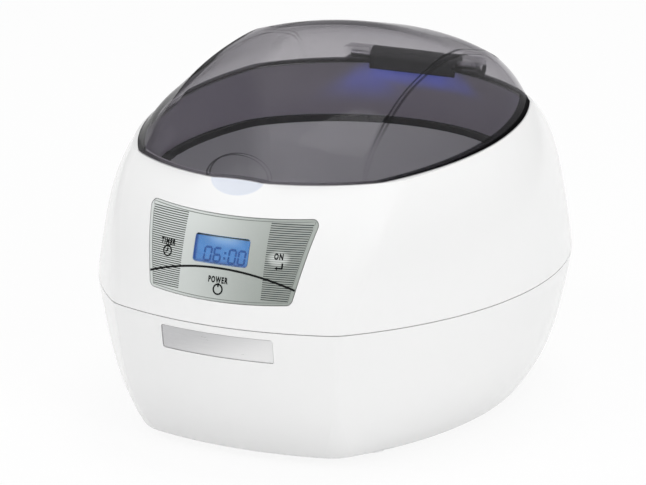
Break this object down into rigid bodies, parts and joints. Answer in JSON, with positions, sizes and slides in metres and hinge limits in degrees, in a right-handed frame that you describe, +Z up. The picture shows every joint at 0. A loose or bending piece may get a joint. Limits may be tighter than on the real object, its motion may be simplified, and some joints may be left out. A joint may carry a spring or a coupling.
{
  "type": "ultrasonic cleaner for contact lenses",
  "caption": "Egg-shaped white tabletop cleaner with a smoked hinged lid, finger scoop, oval steel tank and a curved silver panel with a blue display.",
  "frame": {"origin": "on the table, under the middle of the case", "axes": "+X to the right as seen from the front, -Y to the front (display panel), +Z up"},
  "size_m": [0.173, 0.201, 0.1423],
  "materials": {
    "white_case": "smooth, slightly glossy",
    "smoked_lid": "clear smoke-grey, polished",
    "black_plastic": "fine satin",
    "steel": "brushed",
    "polished_steel": "drawn, bright",
    "dark_rubber": "matt",
    "grey_plastic": "matt",
    "epoxy": "cured adhesive",
    "piezo_ceramic": "fired, matt",
    "silvered_brass": "plated",
    "blue_lens": "clear blue",
    "silver_film": "printed film, satin silver",
    "clear_window": "clear",
    "lcd_blue": "liquid-crystal cell",
    "light_guide": "milky light guide",
    "board_green": "solder mask",
    "switch_black": "moulded",
    "bare_metal": "brushed, satin",
    "brass": "bright",
    "connector_white": "moulded",
    "ferrite": "fired, matt",
    "coil_tape": "yellow tape over copper",
    "sink_black": "black anodised",
    "can_blue": "sleeved can",
    "copper": "enamelled copper",
    "fuse_glass": "glass tube",
    "lead_insulation": "smooth insulation",
    "ribbon_grey": "flat cable"
  },
  "bodies": {
    "case": {"upper_shell": "white_case", "lower_shell": "white_case", "hinge_block": "black_plastic", "hinge_pin": "steel", "tank": "polished_steel", "tank_gasket": "dark_rubber", "tank_clamp_ring": "grey_plastic", "clamp_screws": "steel", "transducer_bond": "epoxy", "transducer_disc": "piezo_ceramic", "transducer_electrode": "silvered_brass", "tank_lights": "blue_lens", "panel_overlay": "silver_film", "lcd_window": "clear_window", "lcd_module": "lcd_blue", "lcd_backlight": "light_guide", "display_board": "board_green", "display_board_screws": "steel", "key_switches": "switch_black", "beeper": "black_plastic", "name_plate": "bare_metal", "rubber_feet": "dark_rubber", "case_screws": "steel", "power_inlet": "black_plastic", "inlet_pins": "brass", "power_board": "board_green", "power_board_screws": "steel", "board_connectors": "connector_white", "transformer_core": "ferrite", "transformer_coil": "coil_tape", "heat_sink": "sink_black", "power_transistor": "switch_black", "filter_capacitor": "can_blue", "choke": "copper", "fuse": "fuse_glass", "fuse_clips": "brass", "mains_leads": "lead_insulation", "transducer_leads": "lead_insulation", "display_ribbon": "ribbon_grey"},
    "lid_body": {"lid": "smoked_lid"},
    "timer_plunger": {"timer_key": "grey_plastic"},
    "power_plunger": {"power_key": "grey_plastic"},
    "on_plunger": {"on_key": "grey_plastic"}
  },
  "joints": [
    {"name": "lid_hinge", "type": "hinge", "parent": "case", "child": "lid_body", "pos_m": [0, 0.0746, 0.1156], "axis": [-1, 0, 0], "range_deg": [0, 82]},
    {"name": "timer_press", "type": "slide", "parent": "case", "child": "timer_plunger", "axis": [0, 0.9563, -0.2924], "range_m": [0, 0.0004], "stiffness_N_per_m": 2000, "springref_m": -0.0003},
    {"name": "power_press", "type": "slide", "parent": "case", "child": "power_plunger", "axis": [0, 0.9563, -0.2924], "range_m": [0, 0.0004], "stiffness_N_per_m": 2000, "springref_m": -0.0003},
    {"name": "on_press", "type": "slide", "parent": "case", "child": "on_plunger", "axis": [0, 0.9563, -0.2924], "range_m": [0, 0.0004], "stiffness_N_per_m": 2000, "springref_m": -0.0003}
  ]
}
